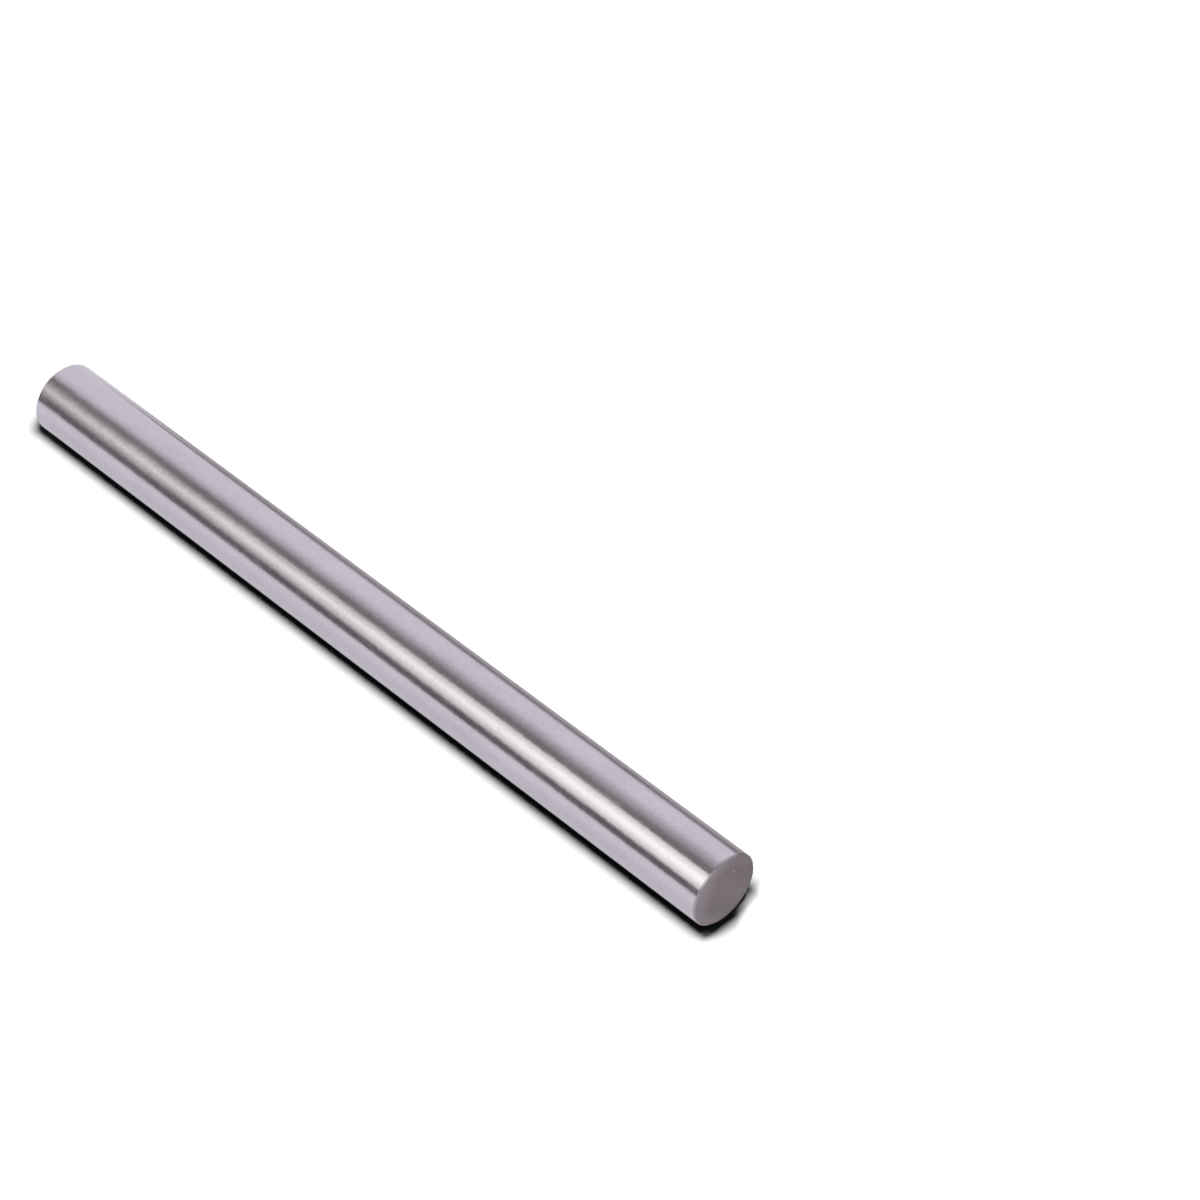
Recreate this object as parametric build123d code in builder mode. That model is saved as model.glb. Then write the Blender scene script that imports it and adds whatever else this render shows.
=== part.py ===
"""Round bar: one cut length of bright ground round steel bar, lying on its side.

In millimetres. +X runs along the bar, +Z is up, and the origin is on the floor under the middle of the bar.
"""

import os

from build123d import *

# Driving dimensions
DIAMETER = 20.0  # ground outside diameter
LENGTH = 250.0  # cut length, from one end face to the other
EDGE_BREAK = 0.4  # chamfer that takes the burr off each cut end, at 45 degrees

# The bar rests on its side, so its centre line is one radius above the floor.
radius = DIAMETER / 2
axis_height = radius


with BuildPart() as round_bar:
    # The drawn section, at the end towards -X, run out to the cut length
    with BuildSketch(Plane.YZ.offset(-LENGTH / 2)):
        with Locations((0, axis_height)):
            Circle(radius)
    extrude(amount=LENGTH)

    # Both cut ends are faced square and have their sharp rim broken
    end_faces = round_bar.faces().filter_by(Axis.X)
    chamfer(end_faces.edges(), length=EDGE_BREAK)

round_bar.part.label = "round_bar"

os.makedirs("parts", exist_ok=True)
export_step(round_bar.part, "parts/round_bar.step")
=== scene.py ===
"""The looks of the round bar: bright ground steel with saw-cut ends, on a white table in a studio.

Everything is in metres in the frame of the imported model: +X along the bar, +Z up, origin on the
floor under its middle. The front of the bar is the side that faces -Y, and its near end is at +X.
"""

import math

import bpy
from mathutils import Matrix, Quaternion, Vector, noise


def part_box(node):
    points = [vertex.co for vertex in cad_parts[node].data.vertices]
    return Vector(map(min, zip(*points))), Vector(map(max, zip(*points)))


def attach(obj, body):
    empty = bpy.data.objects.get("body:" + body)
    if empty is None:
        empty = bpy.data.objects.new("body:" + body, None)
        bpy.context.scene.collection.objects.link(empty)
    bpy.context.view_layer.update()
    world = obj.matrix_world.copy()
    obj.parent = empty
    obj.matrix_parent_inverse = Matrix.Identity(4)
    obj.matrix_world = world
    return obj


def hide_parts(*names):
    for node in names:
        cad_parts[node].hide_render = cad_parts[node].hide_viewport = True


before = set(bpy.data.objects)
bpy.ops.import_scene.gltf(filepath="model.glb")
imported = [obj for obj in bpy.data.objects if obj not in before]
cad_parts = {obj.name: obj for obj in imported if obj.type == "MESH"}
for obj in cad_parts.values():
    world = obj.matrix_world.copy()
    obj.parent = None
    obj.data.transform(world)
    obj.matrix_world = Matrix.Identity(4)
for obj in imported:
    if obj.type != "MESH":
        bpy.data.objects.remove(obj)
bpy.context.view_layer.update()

MM = 0.001

# The bar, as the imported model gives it
bar_low, bar_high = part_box("round_bar")
LENGTH = bar_high.x - bar_low.x
RADIUS = bar_high.y
AXIS = Vector((0, 0, RADIUS))

# Edge break at the cut ends, filed by hand, so its width wanders a little
CHAMFER = 0.4 * MM
CHAMFER_UNEVEN = 0.22
CORNER = 0.06 * MM
SUPPORT = 0.12 * MM  # from a rounded corner to the next ring, which keeps flat parts shading flat

# Mesh density: the ends are square grids drawn out to discs, and the side takes on their rim
END_CELLS = 156
AROUND = 4 * END_CELLS
SIDE_RINGS = 36

# Marks of the cold saw on the ends: shallow arcs about the blade's centre, as (y, z) from the axis
BLADE_CENTRE = Vector((-92 * MM, 34 * MM))
SAW_PITCH = 0.62 * MM
SAW_FINE_PITCH = 0.41 * SAW_PITCH
SAW_DEPTH = 0.008 * MM
SAW_PATCH = 3 * MM  # about the size of the patches in which the marks stray and deepen

# A small dent in the near end, above and behind its middle
NICK_PLACE = Vector((3.4 * MM, 4.0 * MM))
NICK_POINT = (LENGTH / 2, NICK_PLACE.x, RADIUS + NICK_PLACE.y)
NICK_RADIUS = 0.34 * MM
NICK_DEPTH = 0.07 * MM

# The bake map: bands for stretches of the side, one above the other, and a square for each end
BAKE_MAP = "OFBake"
STRETCHES = 4
BAND_START, BAND_STEP, BAND_HEIGHT = 0.006, 0.185, 0.175
BAND_MARGIN = 1.035  # width of the map over the length of a band
SQUARE = 0.245
SQUARE_V = 0.872
NEAR_SQUARE_U, FAR_SQUARE_U = 0.13, 0.39


# ---------------------------------------------------------------- camera

def make_camera():
    """A long lens from the front right, aimed behind the bar, which then lies left of centre."""
    azimuth, elevation, roll = math.radians(49.29), math.radians(45.76), math.radians(4.48)
    aim = Vector((35.46 * MM, 45.75 * MM, RADIUS))
    distance = 0.9439
    back = Vector((
        math.sin(azimuth) * math.cos(elevation),
        -math.cos(azimuth) * math.cos(elevation),
        math.sin(elevation),
    ))
    camera = bpy.data.objects.new("camera", bpy.data.cameras.new("camera"))
    camera.data.lens = 112.24
    camera.data.sensor_width = 36
    camera.data.clip_start = 0.05
    camera.data.clip_end = 50
    camera.location = aim + back * distance
    camera.rotation_mode = "QUATERNION"
    camera.rotation_quaternion = (-back).to_track_quat("-Z", "Y") @ Quaternion((0, 0, 1), -roll)
    bpy.context.scene.collection.objects.link(camera)
    bpy.context.scene.camera = camera


# ---------------------------------------------------------------- node helpers

def new_tree(owner):
    owner.use_nodes = True
    owner.node_tree.nodes.clear()
    return owner.node_tree


def node(tree, kind, settings=None, **inputs):
    """A new node. settings are its attributes; inputs are values or sockets.

    An input goes by its name, with _ for a space, or by its number, as i0 or i1.
    """
    made = tree.nodes.new("ShaderNode" + kind)
    for name, value in (settings or {}).items():
        setattr(made, name, value)
    for name, value in inputs.items():
        by_index = name[0] == "i" and name[1:].isdigit()
        socket = made.inputs[int(name[1:]) if by_index else name.replace("_", " ")]
        if isinstance(value, bpy.types.NodeSocket):
            tree.links.new(value, socket)
        else:
            socket.default_value = value
    return made


def maths(tree, operation, a, b=0.0, c=0.0):
    return node(tree, "Math", {"operation": operation}, i0=a, i1=b, i2=c).outputs[0]


def weighted(tree, *parts):
    """The sum of values, each given with its weight."""
    total = 0.0
    for value, weight in parts:
        total = maths(tree, "MULTIPLY_ADD", value, weight, total)
    return total


def squares_added(tree, a, b):
    return maths(tree, "MULTIPLY_ADD", a, a, maths(tree, "MULTIPLY", b, b))


def remap(tree, value, low, high, to_low=0.0, to_high=1.0):
    """value carried from low..high to to_low..to_high, and held there beyond either end."""
    made = node(
        tree, "MapRange", {"clamp": True}, Value=value,
        From_Min=low, From_Max=high, To_Min=to_low, To_Max=to_high,
    )
    return made.outputs[0]


def mix(tree, factor, colour_0, colour_1):
    return node(tree, "MixRGB", Fac=factor, Color1=colour_0, Color2=colour_1).outputs[0]


# ---------------------------------------------------------------- studio

WHITE = (1, 1, 1, 1)
BLACK = (0, 0, 0, 1)
# The table as the bar mirrors it: painted shade close to the bar, the open table, and painted shade
# behind the bar
TABLE_PAINTED_SHADE_NEAR = (0.77, 0.75, 0.83, 1)
TABLE_AWAY = (0.94, 0.915, 1.01, 1)
TABLE_PAINTED_SHADE_BEHIND = (0.50, 0.47, 0.50, 1)
PAPER_MIRRORED = (0.93, 0.90, 1.02, 1)
FLAG_FRONT = (0.15, 0.132, 0.15, 1)
FLAG_OVERHEAD = (0.265, 0.245, 0.255, 1)
FLAG_BEHIND = (0.25, 0.235, 0.25, 1)
SOFTBOX_CLOTH = (1.0, 0.978, 0.972, 1)

# The overhead softbox, an oval level above the table
KEY_PLACE = Vector((67.6 * MM, -59.7 * MM, 388 * MM))
KEY_ALONG, KEY_ACROSS = 77 * MM, 153 * MM
KEY_LEVEL = 1.05  # on the table right below it, where white is 1
FILL = 0.008  # even light on the table, besides

TABLE_HALF = 5.0
TABLE_GLOW = 0.6  # share of the mirrored table beside the bar that the bar's shadow doesn't reach
TABLE_GLOW_PAST_END = 0.9  # the same past the bar's ends

REACH = 0.9  # how far the cards stand from the bar's axis
FLAG_REACH = 0.99 * REACH  # the front and overhead flags stand a little closer than the softbox
CARD_HALF = 1.6  # half the length of the cards that lie along the bar
CARD_EDGE = 0.012  # half the width of a flag's soft edge


def straight_from_metal(tree):
    """1 for light that comes to the camera by way of the metal alone, 0 by way of the table.

    So neither the cards nor the bar throw light on the table, which keeps its shadow deep.
    """
    path = node(tree, "LightPath")
    mirrored = maths(
        tree, "MAXIMUM", path.outputs["Is Glossy Ray"], path.outputs["Is Transmission Ray"],
    )
    no_table = maths(tree, "LESS_THAN", path.outputs["Diffuse Depth"], 0.5)
    return maths(tree, "MULTIPLY", mirrored, no_table)


def corners_about(centre, half_u, half_v):
    """The corners of a card, from its middle and the steps from there to its sides."""
    return (
        centre - half_u - half_v, centre + half_u - half_v,
        centre + half_u + half_v, centre - half_u + half_v,
    )


def staged(name, corners, material):
    """A flat card through four corners, in order round it."""
    mesh = bpy.data.meshes.new(name)
    mesh.from_pydata([tuple(c) for c in corners], [], [(0, 1, 2, 3)])
    uv = mesh.uv_layers.new(name="card")
    for loop, place in zip(uv.data, ((0, 0), (1, 0), (1, 1), (0, 1))):
        loop.uv = place
    mesh.materials.append(material)
    card = bpy.data.objects.new(name, mesh)
    bpy.context.scene.collection.objects.link(card)
    return card


def reflection_card(name, corners, paint):
    """A glowing card that only the bar mirrors.

    paint gives its colour, strength and cover at the card's (u, v), which run from 0 to 1.
    """
    material = bpy.data.materials.new(name)
    tree = new_tree(material)
    uv = node(tree, "UVMap", {"uv_map": "card"})
    split = node(tree, "SeparateXYZ", Vector=uv.outputs[0])
    colour, strength, cover = paint(tree, split.outputs[0], split.outputs[1])
    strength = maths(tree, "MULTIPLY", straight_from_metal(tree), strength)
    light = node(tree, "Emission", Color=colour, Strength=strength)
    gap = node(tree, "BsdfTransparent")
    shown = node(tree, "MixShader", i0=cover, i1=gap.outputs[0], i2=light.outputs[0])
    node(tree, "OutputMaterial", Surface=shown.outputs[0])
    material.cycles.emission_sampling = "NONE"
    card = staged(name, corners, material)
    card.visible_camera = False
    card.visible_diffuse = False
    card.visible_transmission = False
    card.visible_volume_scatter = False
    card.visible_shadow = False


def mirrored_tone(tree, x, y, away):
    """The table's colour as the bar mirrors it.

    It is lavender, with painted shade on it: a little greyer close by, where the bar stands in its
    way, and grey behind the bar.
    """
    near, clear = 15 * MM, 45 * MM
    behind_from, behind_full = 8 * MM, 16 * MM
    past_far_end, short_of_far_end = -0.14, -0.11
    # Painted shade: greyer within near of the bar, fading out by clear
    tone = mix(tree, remap(tree, away, near, clear), TABLE_PAINTED_SHADE_NEAR, TABLE_AWAY)
    # Painted shade on the table behind the bar, stopping short of the far end
    behind = maths(
        tree, "MULTIPLY", remap(tree, y, behind_from, behind_full),
        remap(tree, x, past_far_end, short_of_far_end),
    )
    return mix(tree, behind, tone, TABLE_PAINTED_SHADE_BEHIND)


def key_fall_off(tree, x, y):
    """How many times weaker the overhead softbox is here on the table than right below it."""
    widest = 0.5  # the squared distance, in square metres, at which it stops growing
    off_x = maths(tree, "SUBTRACT", x, KEY_PLACE.x)
    off_y = maths(tree, "SUBTRACT", y, KEY_PLACE.y)
    off_key = maths(tree, "MINIMUM", squares_added(tree, off_x, off_y), widest)
    spread = maths(tree, "MULTIPLY_ADD", off_key, 1 / KEY_PLACE.z ** 2, 1.0)
    return maths(tree, "MULTIPLY", spread, spread)


def make_floor():
    """A white table. Its paper makes up for the lamp's fall-off, and far from the bar it glows."""
    glow_starts, all_glow = 0.25, 0.6  # from the bar
    material = bpy.data.materials.new("table_white")
    tree = new_tree(material)
    path = node(tree, "LightPath")
    place = node(tree, "TexCoord")
    split = node(tree, "SeparateXYZ", Vector=place.outputs["Object"])
    x, y = split.outputs[0], split.outputs[1]
    past_end = maths(tree, "SUBTRACT", maths(tree, "ABSOLUTE", x), LENGTH / 2)
    past_end = maths(tree, "MAXIMUM", past_end, 0.0)
    away = maths(tree, "SQRT", squares_added(tree, past_end, y))

    to_others = mix(tree, straight_from_metal(tree), BLACK, mirrored_tone(tree, x, y, away))
    colour = mix(tree, path.outputs["Is Camera Ray"], to_others, WHITE)
    even_colour = node(
        tree, "VectorMath", {"operation": "SCALE"}, i0=colour, Scale=key_fall_off(tree, x, y),
    )
    paper = node(tree, "BsdfDiffuse", Color=even_colour.outputs[0])
    glow = node(tree, "Emission", Color=colour, Strength=1.0)

    mirrored_share = remap(tree, past_end, 0.0, 1 * MM, TABLE_GLOW, TABLE_GLOW_PAST_END)
    mirrored_share = maths(tree, "MULTIPLY", straight_from_metal(tree), mirrored_share)
    share = maths(tree, "MAXIMUM", mirrored_share, remap(tree, away, glow_starts, all_glow))
    table = node(tree, "MixShader", i0=share, i1=paper.outputs[0], i2=glow.outputs[0])
    node(tree, "OutputMaterial", Surface=table.outputs[0])
    material.cycles.emission_sampling = "NONE"
    half_x, half_y = Vector((TABLE_HALF, 0, 0)), Vector((0, TABLE_HALF, 0))
    staged("floor", corners_about(Vector(), half_x, half_y), material)


def across(degrees, reach):
    """The point this far from the bar's axis. 0 degrees is level, in front, and 90 is overhead."""
    a = math.radians(degrees)
    return Vector((0, -math.cos(a) * reach, RADIUS + math.sin(a) * reach))


def along_card(tree, u):
    """How far along the bar a place on a card lies from its middle, in metres either way."""
    return maths(tree, "ABSOLUTE", maths(tree, "MULTIPLY_ADD", u, 2 * CARD_HALF, -CARD_HALF))


def make_softbox():
    """The long front softbox that draws the bright band.

    It is brightest on its centre line, and fades towards its far end.
    """
    middle, half_angle = 46.0, 28.0
    strength = 1.98
    full_to, fall_off = 0.25, 0.475  # along the box, from its middle towards its far end
    edges_full_to, edges_dark_from = 0.59, 0.80  # the same for its edges
    edge_share = 0.48  # of the light on the centre line, that its edges give at most

    def cloth(tree, u, v):
        x = maths(tree, "MULTIPLY_ADD", u, -2 * CARD_HALF, CARD_HALF)
        off_line = maths(tree, "ABSOLUTE", maths(tree, "MULTIPLY_ADD", v, 2.0, -1.0))
        far = maths(tree, "MAXIMUM", maths(tree, "SUBTRACT", x, full_to), 0.0)
        squared = maths(tree, "MULTIPLY", far, far)
        bell = maths(tree, "EXPONENT", maths(tree, "MULTIPLY", squared, -0.5 / fall_off ** 2))
        at_edges = remap(tree, x, edges_full_to, edges_dark_from, edge_share, 0.0)
        drop = maths(tree, "SUBTRACT", at_edges, 1.0)
        across_it = maths(tree, "MULTIPLY_ADD", off_line, drop, 1.0)
        light = maths(tree, "MULTIPLY", maths(tree, "MULTIPLY", across_it, bell), strength)
        return SOFTBOX_CLOTH, light, 1.0

    rise = math.radians(middle)
    half_along = Vector((CARD_HALF, 0, 0))
    half_up = Vector((0, math.sin(rise), math.cos(rise))) * REACH
    half_up *= math.tan(math.radians(half_angle))
    reflection_card("softbox", corners_about(across(middle, REACH), half_along, half_up), cloth)


def make_front_flag():
    """A low dark card under the softbox, which draws the thin dark band in front of the bright one.

    It rises towards both ends, so the bright band narrows away from the viewer.
    """
    card_height = 0.55
    rise_from, rise_to = 0.3, 1.0  # along the bar either way
    low, high = 0.318, 0.42

    def cloth(tree, u, v):
        edge = remap(tree, along_card(tree, u), rise_from, rise_to, low, high)
        height = maths(tree, "MULTIPLY", v, card_height)
        below = maths(tree, "SUBTRACT", edge, height)
        return FLAG_FRONT, 1.0, remap(tree, below, -CARD_EDGE, CARD_EDGE)

    half = Vector((CARD_HALF, 0, 0))
    foot = Vector((0, -FLAG_REACH, 0))
    top = Vector((0, 0, card_height))
    corners = (foot - half, foot + half, foot + half + top, foot - half + top)
    reflection_card("front_flag", corners, cloth)


def make_overhead_flag():
    """A dark card overhead. Its front edge comes further forward away from the middle.

    Behind, it fades to the tone of the paper, over a depth that grows along X.
    """
    front, back = -0.46, 0.80
    edge_turn_from, edge_turn_to = 0.45, 0.9  # along the bar either way
    edge_middle, edge_ends = -0.335, -0.435
    fade_start = -0.10
    fade_end_mid, fade_end_slope = 0.93, 0.86  # over the middle of the bar, and the change along X
    fade_end_least = 0.12

    def cloth(tree, u, v):
        x = remap(tree, u, 0.0, 1.0, -CARD_HALF, CARD_HALF)
        y = remap(tree, v, 0.0, 1.0, front, back)
        end = maths(tree, "MULTIPLY_ADD", x, fade_end_slope, fade_end_mid)
        end = maths(tree, "MINIMUM", maths(tree, "MAXIMUM", end, fade_end_least), back)
        fade = remap(tree, y, fade_start, end)
        tone = mix(tree, fade, FLAG_OVERHEAD, PAPER_MIRRORED)
        away = along_card(tree, u)
        edge = remap(tree, away, edge_turn_from, edge_turn_to, edge_middle, edge_ends)
        behind = maths(tree, "SUBTRACT", y, edge)
        return tone, 1.0, remap(tree, behind, -CARD_EDGE, CARD_EDGE)

    top = RADIUS + FLAG_REACH
    corners = (
        (-CARD_HALF, front, top), (CARD_HALF, front, top),
        (CARD_HALF, back, top), (-CARD_HALF, back, top),
    )
    reflection_card("overhead_flag", corners, cloth)


def make_back_flag():
    """A dark card that rises gently behind the bar, which draws the thin line along its back edge.

    Towards the far end it is cut back on a slant, so the line stops a little short of that end.
    """
    near, top_height = 0.06, 0.072
    near_fade, far_fade = 0.02, 0.8  # shares of its depth, between which it is all there
    slant = 0.625  # along X for each metre across
    cut_away, whole = -0.135, -0.10  # along X, at the bar's axis

    def cloth(tree, u, v):
        x = remap(tree, u, 0.0, 1.0, -CARD_HALF, CARD_HALF)
        y = remap(tree, v, 0.0, 1.0, near, REACH)
        from_far_end = maths(tree, "MULTIPLY_ADD", y, slant, x)
        near_side, far_side = remap(tree, v, 0.0, near_fade), remap(tree, v, 1.0, far_fade)
        sides = maths(tree, "MULTIPLY", near_side, far_side)
        cover = maths(tree, "MULTIPLY", sides, remap(tree, from_far_end, cut_away, whole))
        return FLAG_BEHIND, 1.0, cover

    low, high = Vector((0, near, 1 * MM)), Vector((0, REACH, top_height))
    half = Vector((CARD_HALF, 0, 0))
    reflection_card("back_flag", (low - half, low + half, high + half, high - half), cloth)


def make_end_card(name, azimuth, elevation, half_angle, colour, strength):
    """A round, soft-edged card beyond the near end, for the broken edge there to mirror.

    Its angles are in degrees, seen from the middle of that end.
    """
    fade_from = 0.5  # share of its radius from which its edge softens
    azimuth, elevation = math.radians(azimuth), math.radians(elevation)
    half = REACH * math.tan(math.radians(half_angle))

    def cloth(tree, u, v):
        off_x = maths(tree, "MULTIPLY_ADD", u, 2.0, -1.0)
        off_y = maths(tree, "MULTIPLY_ADD", v, 2.0, -1.0)
        off_middle = maths(tree, "SQRT", squares_added(tree, off_x, off_y))
        return colour, strength, remap(tree, off_middle, 1.0, fade_from)

    level_x, level_y = math.cos(azimuth), math.sin(azimuth)
    towards = Vector((
        math.cos(elevation) * level_x,
        math.cos(elevation) * level_y,
        math.sin(elevation),
    ))
    side = Vector((-level_y, level_x, 0)) * half
    centre = AXIS + Vector((LENGTH / 2, 0, 0)) + towards * REACH
    reflection_card(name, corners_about(centre, side, towards.cross(side)), cloth)


def make_world():
    """White to the camera, lavender paper to the metal, and a little even light for all else."""
    world = bpy.data.worlds.new("studio")
    bpy.context.scene.world = world
    tree = new_tree(world)
    path = node(tree, "LightPath")
    to_metal = mix(tree, straight_from_metal(tree), (FILL, FILL, FILL, 1), PAPER_MIRRORED)
    to_camera = mix(tree, path.outputs["Is Camera Ray"], to_metal, WHITE)
    background = node(tree, "Background", Color=to_camera, Strength=1.0)
    node(tree, "OutputWorld", Surface=background.outputs[0])


def hang_lamp(lamp, place, turn):
    """Links a lamp that lights the table but shows neither itself nor its reflection."""
    holder = bpy.data.objects.new(lamp.name, lamp)
    holder.location = place
    holder.rotation_mode = "QUATERNION"
    holder.rotation_quaternion = turn
    holder.visible_glossy = False
    holder.visible_camera = False
    bpy.context.scene.collection.objects.link(holder)


def make_key_lamp():
    """The overhead softbox, for a narrow, deep shadow along the front and past both ends."""
    key = bpy.data.lights.new("overhead_softbox", "AREA")
    key.shape = "ELLIPSE"
    key.size = KEY_ALONG
    key.size_y = KEY_ACROSS
    key.energy = KEY_LEVEL * math.pi ** 2 * KEY_PLACE.z ** 2
    hang_lamp(key, KEY_PLACE, Quaternion())


def make_corner_spot(name, past_end, y, radius, level, lean):
    """A small soft spot on the table past the near end, to round off a corner of the shadow there.

    radius is how far it reaches on the table, and level is at its middle, where white is 1. It
    leans along lean, from outside the bar, so that the bar stands clear of it.
    """
    reach = 0.5
    aim = Vector((LENGTH / 2 + past_end, y, 0))
    lean = Vector(lean).normalized()
    spot = bpy.data.lights.new(name, "SPOT")
    spot.spot_size = 2 * math.atan(radius / reach)
    spot.spot_blend = 1.0
    spot.shadow_soft_size = 0.5 * MM
    spot.energy = level / lean.z * 4 * math.pi ** 2 * reach ** 2
    hang_lamp(spot, aim + lean * reach, (-lean).to_track_quat("-Z", "Y"))


# ---------------------------------------------------------------- the bar's mesh

def disc_place(i, j):
    """Where point (i, j) of the square grid lies on the unit disc.

    The grid's border runs evenly round the rim.
    """
    a = 2 * i / END_CELLS - 1
    b = 2 * j / END_CELLS - 1
    if a == 0 and b == 0:
        return Vector((0, 0))
    if abs(a) > abs(b):
        r, angle = a, math.pi / 4 * b / a
    else:
        r, angle = b, math.pi / 2 - math.pi / 4 * a / b
    return Vector((r * math.cos(angle), r * math.sin(angle)))


def rim_index(k):
    """Grid indices of rim point k, counted from the underside round by the front."""
    n = END_CELLS
    m = (3 * n - k + n // 2) % (4 * n)
    if m < n:
        return n, m
    if m < 2 * n:
        return 2 * n - m, n
    if m < 3 * n:
        return 0, 3 * n - m
    return m - 3 * n, 0


def saw_relief(place, side):
    """How far the sawn face lies below the end plane at a place (y, z) from the axis.

    The marks stray, run deeper in some patches than in others, and have finer ones among them.
    """
    close_stray, broad_stray, broad_scale = 0.35, 0.8, 0.4
    patch_mean, patch_swing, patch_scale, patch_shift = 0.65, 0.35, 1.3, Vector((9, 4, 2))
    stroke_share, stroke_stray = 0.7, 2
    fine_share, fine_stray = 0.3, 5

    from_blade = (place - BLADE_CENTRE).length
    point = Vector((place.x, place.y, side)) / SAW_PATCH
    wander = noise.noise(point) * close_stray + noise.noise(point * broad_scale) * broad_stray
    stroke = math.sin(2 * math.pi * from_blade / SAW_PITCH + stroke_stray * wander)
    fine = math.sin(2 * math.pi * from_blade / SAW_FINE_PITCH + fine_stray * wander)
    patch = patch_mean + patch_swing * noise.noise(point * patch_scale + patch_shift)
    depth = SAW_DEPTH * patch * (1 + stroke_share * stroke + fine_share * fine)
    if side > 0:
        off_nick = (place - NICK_PLACE).length / NICK_RADIUS
        depth += NICK_DEPTH * math.exp(-off_nick * off_nick * 2)
    return depth


def edge_factor(direction, side):
    """Local width of the edge break over its nominal width, with waves and ripples round it."""
    waves, ripples, ripple_share = 1.7, 3.1, 0.4
    own_slice = 5 + side  # each end has its own part of the noise
    point = Vector((direction.x * waves, direction.y * waves, own_slice))
    return 1 + CHAMFER_UNEVEN * (noise.noise(point) + ripple_share * noise.noise(point * ripples))


def rim_profile():
    """The rings of the edge break from face to side, with both its corners rounded.

    Each is (inset from the end plane, inset from the side, share of the saw relief).
    """
    tangent = CORNER * math.tan(math.radians(22.5))
    turns = [math.radians(b) for b in (0, 15, 30, 45)]
    inset = CHAMFER + tangent
    corner = [(CORNER * (1 - math.cos(b)), inset - CORNER * math.sin(b)) for b in turns]
    on_face = [(0, inset + SUPPORT)] + corner
    return (
        [(small, large, 1) for small, large in on_face]
        + [(large, small, 0) for small, large in reversed(on_face)]
    )


class BarMesh:
    """Collects the bar's points and faces, each face with its finish and its place on the map."""

    SIDE, END, EDGE = 0, 1, 2

    def __init__(self):
        self.points = []
        self.faces = []
        self.uvs = []
        self.finishes = []

    def add_point(self, x, place):
        self.points.append((x, place.x, RADIUS + place.y))
        return len(self.points) - 1

    def add_face(self, corners, uvs, finish):
        self.faces.append(corners)
        self.uvs.extend(uvs)
        self.finishes.append(finish)

    def finished(self, name, materials):
        mesh = bpy.data.meshes.new(name)
        mesh.from_pydata(self.points, [], self.faces)
        uv = mesh.uv_layers.new(name=BAKE_MAP)
        uv.data.foreach_set("uv", [c for pair in self.uvs for c in pair])
        for material in materials:
            mesh.materials.append(material)
        mesh.polygons.foreach_set("material_index", self.finishes)
        mesh.shade_smooth()
        return mesh


def end_uv(place, side):
    """A place on an end face, in that end's square on the bake map."""
    middle_u = NEAR_SQUARE_U if side > 0 else FAR_SQUARE_U
    u = middle_u + side * place.x / RADIUS * SQUARE / 2
    v = SQUARE_V + place.y / RADIUS * SQUARE / 2
    return u, v


def side_uv(x, share_round, stretch):
    """A place on the side, in its stretch's band on the bake map, with U along the bar."""
    stretch_length = LENGTH / STRETCHES
    from_middle = x + LENGTH / 2 - (stretch + 0.5) * stretch_length
    u = 0.5 + from_middle / (stretch_length * BAND_MARGIN)
    v = BAND_START + stretch * BAND_STEP + share_round * BAND_HEIGHT
    return u, v


def add_end(bar, side):
    """One sawn face, out to where its rim rings take over; returns its border points."""
    room_to_wander = 3 * SUPPORT
    face_radius = RADIUS - CHAMFER - room_to_wander - CORNER
    grid = {}
    places = {}
    for i in range(END_CELLS + 1):
        for j in range(END_CELLS + 1):
            place = disc_place(i, j) * face_radius
            places[i, j] = place
            grid[i, j] = bar.add_point(side * (LENGTH / 2 - saw_relief(place, side)), place)
    for i in range(END_CELLS):
        for j in range(END_CELLS):
            cell = ((i, j), (i + 1, j), (i + 1, j + 1), (i, j + 1))
            cell = cell if side > 0 else cell[::-1]
            uvs = [end_uv(places[c], side) for c in cell]
            bar.add_face([grid[c] for c in cell], uvs, BarMesh.END)
    return [grid[rim_index(k)] for k in range(AROUND)]


def round_the_bar():
    """Directions (y, z) from the axis to a ring's points, from the underside round by the front."""
    turns = [2 * math.pi * k / AROUND for k in range(AROUND)]
    return [Vector((-math.sin(a), -math.cos(a))) for a in turns]


def add_rim_ring(bar, side, inset_x, inset_r, relief_share):
    """A ring of the edge break, set in from the end plane and the side as its width wanders."""
    ring = []
    for direction in round_the_bar():
        factor = edge_factor(direction, side)
        place = direction * (RADIUS - inset_r * factor)
        drop = relief_share * saw_relief(place, side)
        ring.append(bar.add_point(side * (LENGTH / 2 - inset_x * factor - drop), place))
    return ring


def add_rim(bar, side):
    """A sawn face and the rings of its edge break.

    Gives the face's border, the rings from the face to the side, and each ring's x when the edge
    break is laid out flat with the side.
    """
    border = add_end(bar, side)
    profile = rim_profile()
    rings = [add_rim_ring(bar, side, *step) for step in profile]
    flat_x = [
        side * (LENGTH / 2 - CHAMFER + inset_r - inset_x)
        for inset_x, inset_r, relief_share in profile
    ]
    return border, rings, flat_x


def join_rings(bar, ring_a, ring_b, uv_a, uv_b, finish):
    """Faces between two rings, in their order on the skin from the near end to the far one.

    uv_a and uv_b give the place on the bake map of a ring's point from its index.
    """
    for k in range(AROUND):
        m = (k + 1) % AROUND
        corners = (ring_b[k], ring_a[k], ring_a[m], ring_b[m])
        bar.add_face(corners, (uv_b(k), uv_a(k), uv_a(k + 1), uv_b(k + 1)), finish)


def join_on_end(bar, ring_a, ring_b, side):
    """Faces between two rings of a sawn face, in that order."""
    def on_end(ring):
        places = [Vector((bar.points[p][1], bar.points[p][2] - RADIUS)) for p in ring]
        return lambda k: end_uv(places[k % AROUND], side)

    join_rings(bar, ring_a, ring_b, on_end(ring_a), on_end(ring_b), BarMesh.END)


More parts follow.
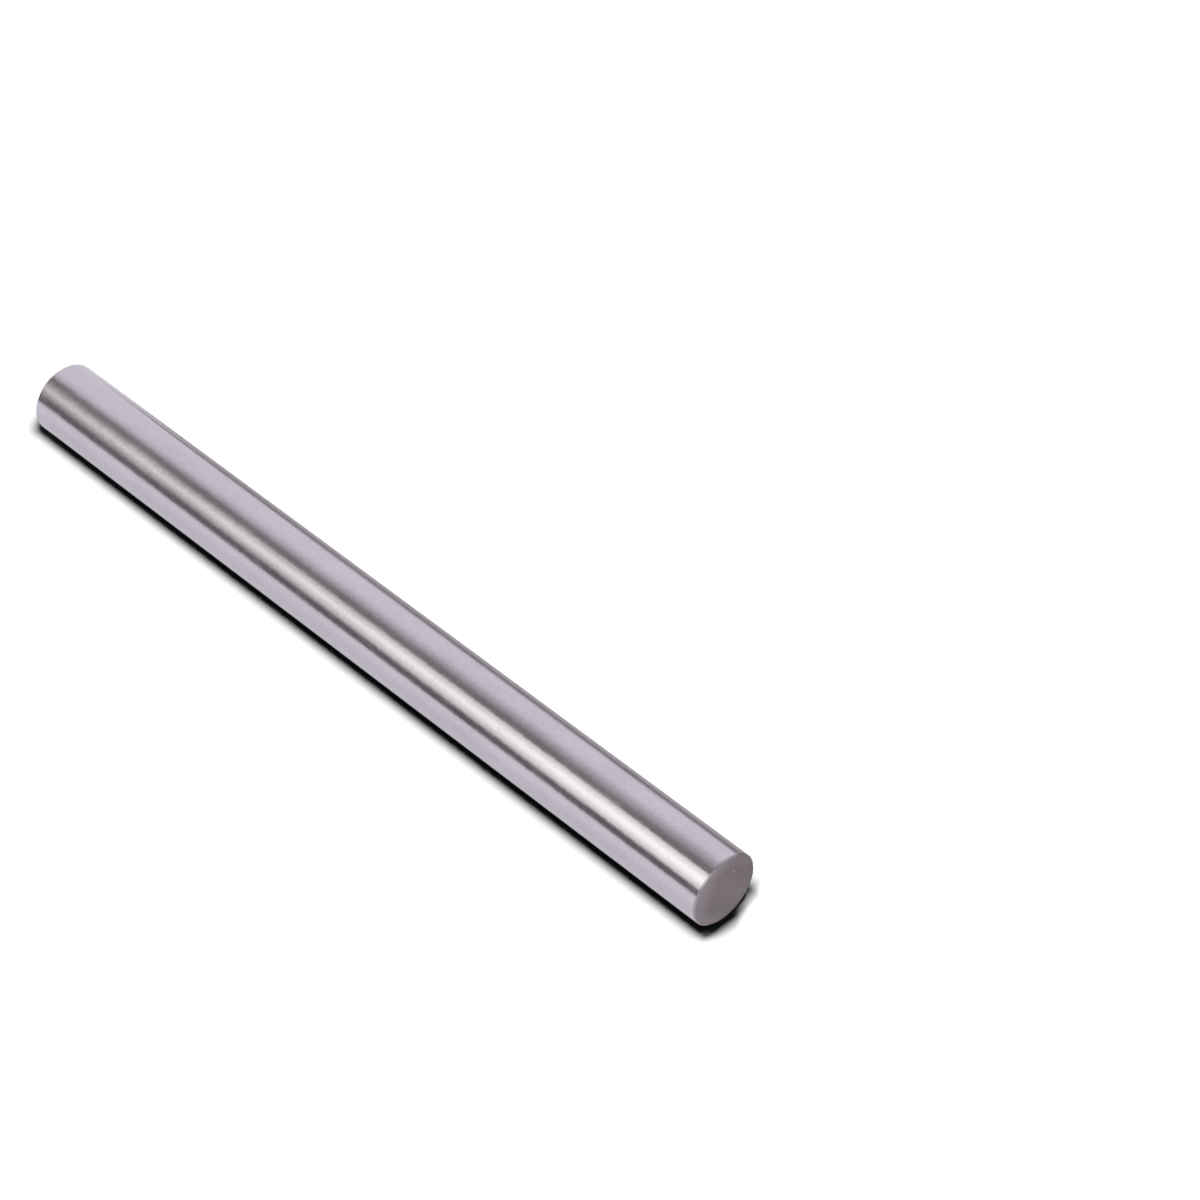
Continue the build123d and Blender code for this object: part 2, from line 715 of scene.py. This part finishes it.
def join_along_side(bar, rings, flat_x):
    """Faces through all the rings of both broken edges and the side, in that order."""
    def on_side(x, stretch):
        return lambda k: side_uv(x, k / AROUND, stretch)

    edge_start = LENGTH / 2 - 1.2 * CHAMFER  # between the edge break and its corner at the side
    for ring_a, ring_b, x_a, x_b in zip(rings, rings[1:], flat_x, flat_x[1:]):
        middle = (x_a + x_b) / 2
        stretch = int((middle + LENGTH / 2) * STRETCHES / LENGTH)
        stretch = min(STRETCHES - 1, max(0, stretch))
        finish = BarMesh.EDGE if abs(middle) > edge_start else BarMesh.SIDE
        join_rings(bar, ring_a, ring_b, on_side(x_a, stretch), on_side(x_b, stretch), finish)


def build_bar(materials):
    """Sawn faces, broken edges and side, as one closed skin."""
    bar = BarMesh()
    near_border, near_rings, near_x = add_rim(bar, 1)
    far_border, far_rings, far_x = add_rim(bar, -1)
    step = LENGTH / SIDE_RINGS
    middle_x = [LENGTH / 2 - s * step for s in range(1, SIDE_RINGS)]
    middle_rings = [
        [bar.add_point(x, direction * RADIUS) for direction in round_the_bar()]
        for x in middle_x
    ]

    join_on_end(bar, near_border, near_rings[0], 1)
    join_on_end(bar, near_rings[0], near_rings[1], 1)
    rings = near_rings[1:] + middle_rings + far_rings[:0:-1]
    join_along_side(bar, rings, near_x[1:] + middle_x + far_x[:0:-1])
    join_on_end(bar, far_rings[1], far_rings[0], -1)
    join_on_end(bar, far_rings[0], far_border, -1)
    return bar.finished("ground_bar", materials)


# ---------------------------------------------------------------- materials

# Tones of each finish, the darker first
GROUND_TONES = (0.54, 0.515, 0.53, 1), (0.62, 0.595, 0.61, 1)
FILED_TONES = (0.35, 0.325, 0.33, 1), (0.42, 0.395, 0.40, 1)
SAWN_TONES = (0.187, 0.162, 0.154, 1), (0.241, 0.209, 0.198, 1)
# The paler tones of a sawn face, for its front crescent and for the painted light on its rim
PALE_AND_LIT_TONES = (0.267, 0.238, 0.238, 1), (0.327, 0.292, 0.292, 1)
NICK_TONE = (0.45, 0.42, 0.40, 1)

# Roughness of each finish where it is smoothest and where it is roughest
GROUND_ROUGHNESS = 0.17, 0.24
FILED_ROUGHNESS = 0.25, 0.33
SAWN_ROUGHNESS = 0.38, 0.5

# Depth of the finest relief of each
GROUND_RELIEF = 0.04 * MM
FILED_RELIEF = 0.006 * MM
SAWN_RELIEF = 0.012 * MM

NOISE_LOW, NOISE_HIGH = 0.3, 0.7  # nearly all of a grain lies between these


def grain(tree, scales, detail=2.0, offset=0.0):
    """Noise over the bar, 0 to 1. scales says how fine it is along X, Y and Z, per metre.

    offset takes it from another part of the noise, so that grains don't repeat one another.
    """
    place = node(tree, "TexCoord")
    moved = node(
        tree, "Mapping", Vector=place.outputs["Object"],
        Location=(offset, offset, -RADIUS * scales[2]), Scale=scales,
    )
    made = node(
        tree, "TexNoise", Vector=moved.outputs[0], Scale=1.0, Detail=detail, Roughness=0.6,
    )
    return made.outputs[0]


def metal(tree, colour, roughness, height, depth, anisotropic=0.0):
    """Finishes a metal material, with height as its finest relief, depth from low to high."""
    bump = node(tree, "Bump", Height=height, Strength=1.0, Distance=depth)
    steel = node(
        tree, "BsdfPrincipled", Base_Color=colour, Metallic=1.0, Roughness=roughness,
        Anisotropic=anisotropic, Normal=bump.outputs[0],
    )
    if anisotropic:
        along = node(tree, "Tangent", {"direction_type": "UV_MAP", "uv_map": BAKE_MAP})
        tree.links.new(along.outputs[0], steel.inputs["Tangent"])
    node(tree, "OutputMaterial", Surface=steel.outputs[0])


def hairlines(tree):
    """1 along a few hairline scratches that run with the bar, 0 elsewhere."""
    half_width = 0.010
    places_from, places_full = 0.56, 0.66
    lines = grain(tree, (55, 1500, 1500), 1.0, 11.0)
    places = grain(tree, (90, 160, 160), 1.0, 17.0)
    off_line = maths(tree, "ABSOLUTE", maths(tree, "SUBTRACT", lines, 0.5))
    on_line = remap(tree, off_line, 0.0, half_width, 1.0, 0.0)
    return maths(tree, "MULTIPLY", on_line, remap(tree, places, places_from, places_full))


def ground_steel():
    """Bright centreless-ground steel: grinding marks, faint clouding and hairline scratches."""
    shade_low, shade_high = 0.35, 0.65
    material = bpy.data.materials.new("ground_steel")
    tree = new_tree(material)
    lay = grain(tree, (1000, 850, 850), 3.0)
    rings = grain(tree, (1500, 30, 30), 2.0, 7.0)
    clouding = grain(tree, (45, 90, 90), 3.0, 3.0)

    shade = weighted(tree, (lay, 0.4), (rings, 0.1), (clouding, 0.5))
    colour = mix(tree, remap(tree, shade, shade_low, shade_high), *GROUND_TONES)
    dullness = weighted(tree, (clouding, 0.5), (lay, 0.5))
    roughness = remap(tree, dullness, NOISE_LOW, NOISE_HIGH, *GROUND_ROUGHNESS)
    height = weighted(tree, (lay, 0.6), (rings, 0.08), (hairlines(tree), -0.13))
    metal(tree, colour, roughness, height, GROUND_RELIEF, anisotropic=0.85)
    return material


def filed_steel():
    """The broken edge: duller than the side, with file marks that run along it."""
    material = bpy.data.materials.new("filed_steel")
    tree = new_tree(material)
    marks = grain(tree, (9000, 400, 400), 3.0, 23.0)
    colour = mix(tree, remap(tree, marks, NOISE_LOW, NOISE_HIGH), *FILED_TONES)
    roughness = remap(tree, marks, NOISE_LOW, NOISE_HIGH, *FILED_ROUGHNESS)
    metal(tree, colour, roughness, marks, FILED_RELIEF)
    return material


def saw_tracks(tree, radius, turn, x):
    """Noise drawn out along arcs about the blade's centre, 0 to 1."""
    polar = node(
        tree, "CombineXYZ", X=maths(tree, "MULTIPLY", radius, 6500),
        Y=maths(tree, "MULTIPLY", turn, 60), Z=maths(tree, "MULTIPLY", x, 20),
    )
    made = node(
        tree, "TexNoise", Vector=polar.outputs[0], Scale=1.0, Detail=3.0, Roughness=0.65,
    )
    return made.outputs[0]


def painted_rim_light(tree, across_axis, above_axis):
    """How much painted light lies on the rim of a sawn face: most of all above and in front."""
    rim_light_starts, rim_light_full, rim_light_most = 6.0 * MM, 8.5 * MM, 0.85
    lean_starts, lean_full = -12 * MM, -4 * MM
    off_axis = maths(tree, "SQRT", squares_added(tree, across_axis, above_axis))
    at_rim = remap(tree, off_axis, rim_light_starts, rim_light_full, 0.0, rim_light_most)
    up_and_front = maths(tree, "SUBTRACT", above_axis, across_axis)
    return maths(tree, "MULTIPLY", at_rim, remap(tree, up_and_front, lean_starts, lean_full))


def sawn_steel():
    """The dull grey-brown of a sawn face.

    It is paler in a crescent on its front side, lighter on its rim with painted light, most of all
    above and in front, and bright in the dent.
    """
    crescent_starts, crescent_full = 3.5 * MM, 8.0 * MM  # nearer the blade's centre than the axis is
    nick_full, nick_ends = 0.2 * MM, 0.42 * MM
    material = bpy.data.materials.new("sawn_steel")
    tree = new_tree(material)
    place = node(tree, "TexCoord").outputs["Object"]
    split = node(tree, "SeparateXYZ", Vector=place)
    x, y, z = split.outputs[0], split.outputs[1], split.outputs[2]

    blade_y = maths(tree, "SUBTRACT", y, BLADE_CENTRE.x)
    blade_z = maths(tree, "SUBTRACT", z, RADIUS + BLADE_CENTRE.y)
    radius = maths(tree, "SQRT", squares_added(tree, blade_y, blade_z))
    tracks = saw_tracks(tree, radius, maths(tree, "ARCTAN2", blade_z, blade_y), x)
    clouding = grain(tree, (300, 300, 300), 3.0)
    shade = weighted(tree, (clouding, 0.5), (tracks, 0.5))

    axis_radius = BLADE_CENTRE.length
    # Paler in a crescent on the front side of the face
    front_crescent = remap(tree, radius, axis_radius - crescent_starts, axis_radius - crescent_full)
    # Painted light on the rim, lighter above and in front
    rim_light = painted_rim_light(tree, y, maths(tree, "SUBTRACT", z, RADIUS))
    lighter = maths(tree, "MAXIMUM", front_crescent, rim_light)
    contrast = remap(tree, shade, NOISE_LOW, NOISE_HIGH)
    dull, light = mix(tree, contrast, *SAWN_TONES), mix(tree, contrast, *PALE_AND_LIT_TONES)
    off_nick = node(tree, "VectorMath", {"operation": "DISTANCE"}, i0=place, i1=NICK_POINT)
    bright_nick = remap(tree, off_nick.outputs["Value"], nick_full, nick_ends, 1.0, 0.0)
    colour = mix(tree, bright_nick, mix(tree, lighter, dull, light), NICK_TONE)
    roughness = remap(tree, shade, NOISE_LOW, NOISE_HIGH, *SAWN_ROUGHNESS)
    metal(tree, colour, roughness, shade, SAWN_RELIEF)
    return material


def make_bar():
    materials = [ground_steel(), sawn_steel(), filed_steel()]
    bar = bpy.data.objects.new("ground_bar", build_bar(materials))
    bpy.context.scene.collection.objects.link(bar)
    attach(bar, "root")
    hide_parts("round_bar")


bpy.context.scene.view_settings.view_transform = "Standard"
make_camera()
make_world()
make_floor()
make_key_lamp()
make_corner_spot(
    "back_corner_spot", past_end=12.6 * MM, y=11.8 * MM,
    radius=15.0 * MM, level=2.26, lean=(0.15, 0.16, 1),
)
make_corner_spot(
    "front_corner_spot", past_end=3.5 * MM, y=-10.8 * MM,
    radius=6.0 * MM, level=0.19, lean=(0.15, -0.35, 1),
)
make_softbox()
make_front_flag()
make_overhead_flag()
make_back_flag()
# One lights the edge break beside the bright band, and the other darkens it beside the dark one
make_end_card(
    "end_card", azimuth=-20, elevation=18, half_angle=15, colour=SOFTBOX_CLOTH, strength=1.7,
)
make_end_card(
    "end_flag", azimuth=16, elevation=37, half_angle=14, colour=FLAG_OVERHEAD, strength=1.0,
)
make_bar()
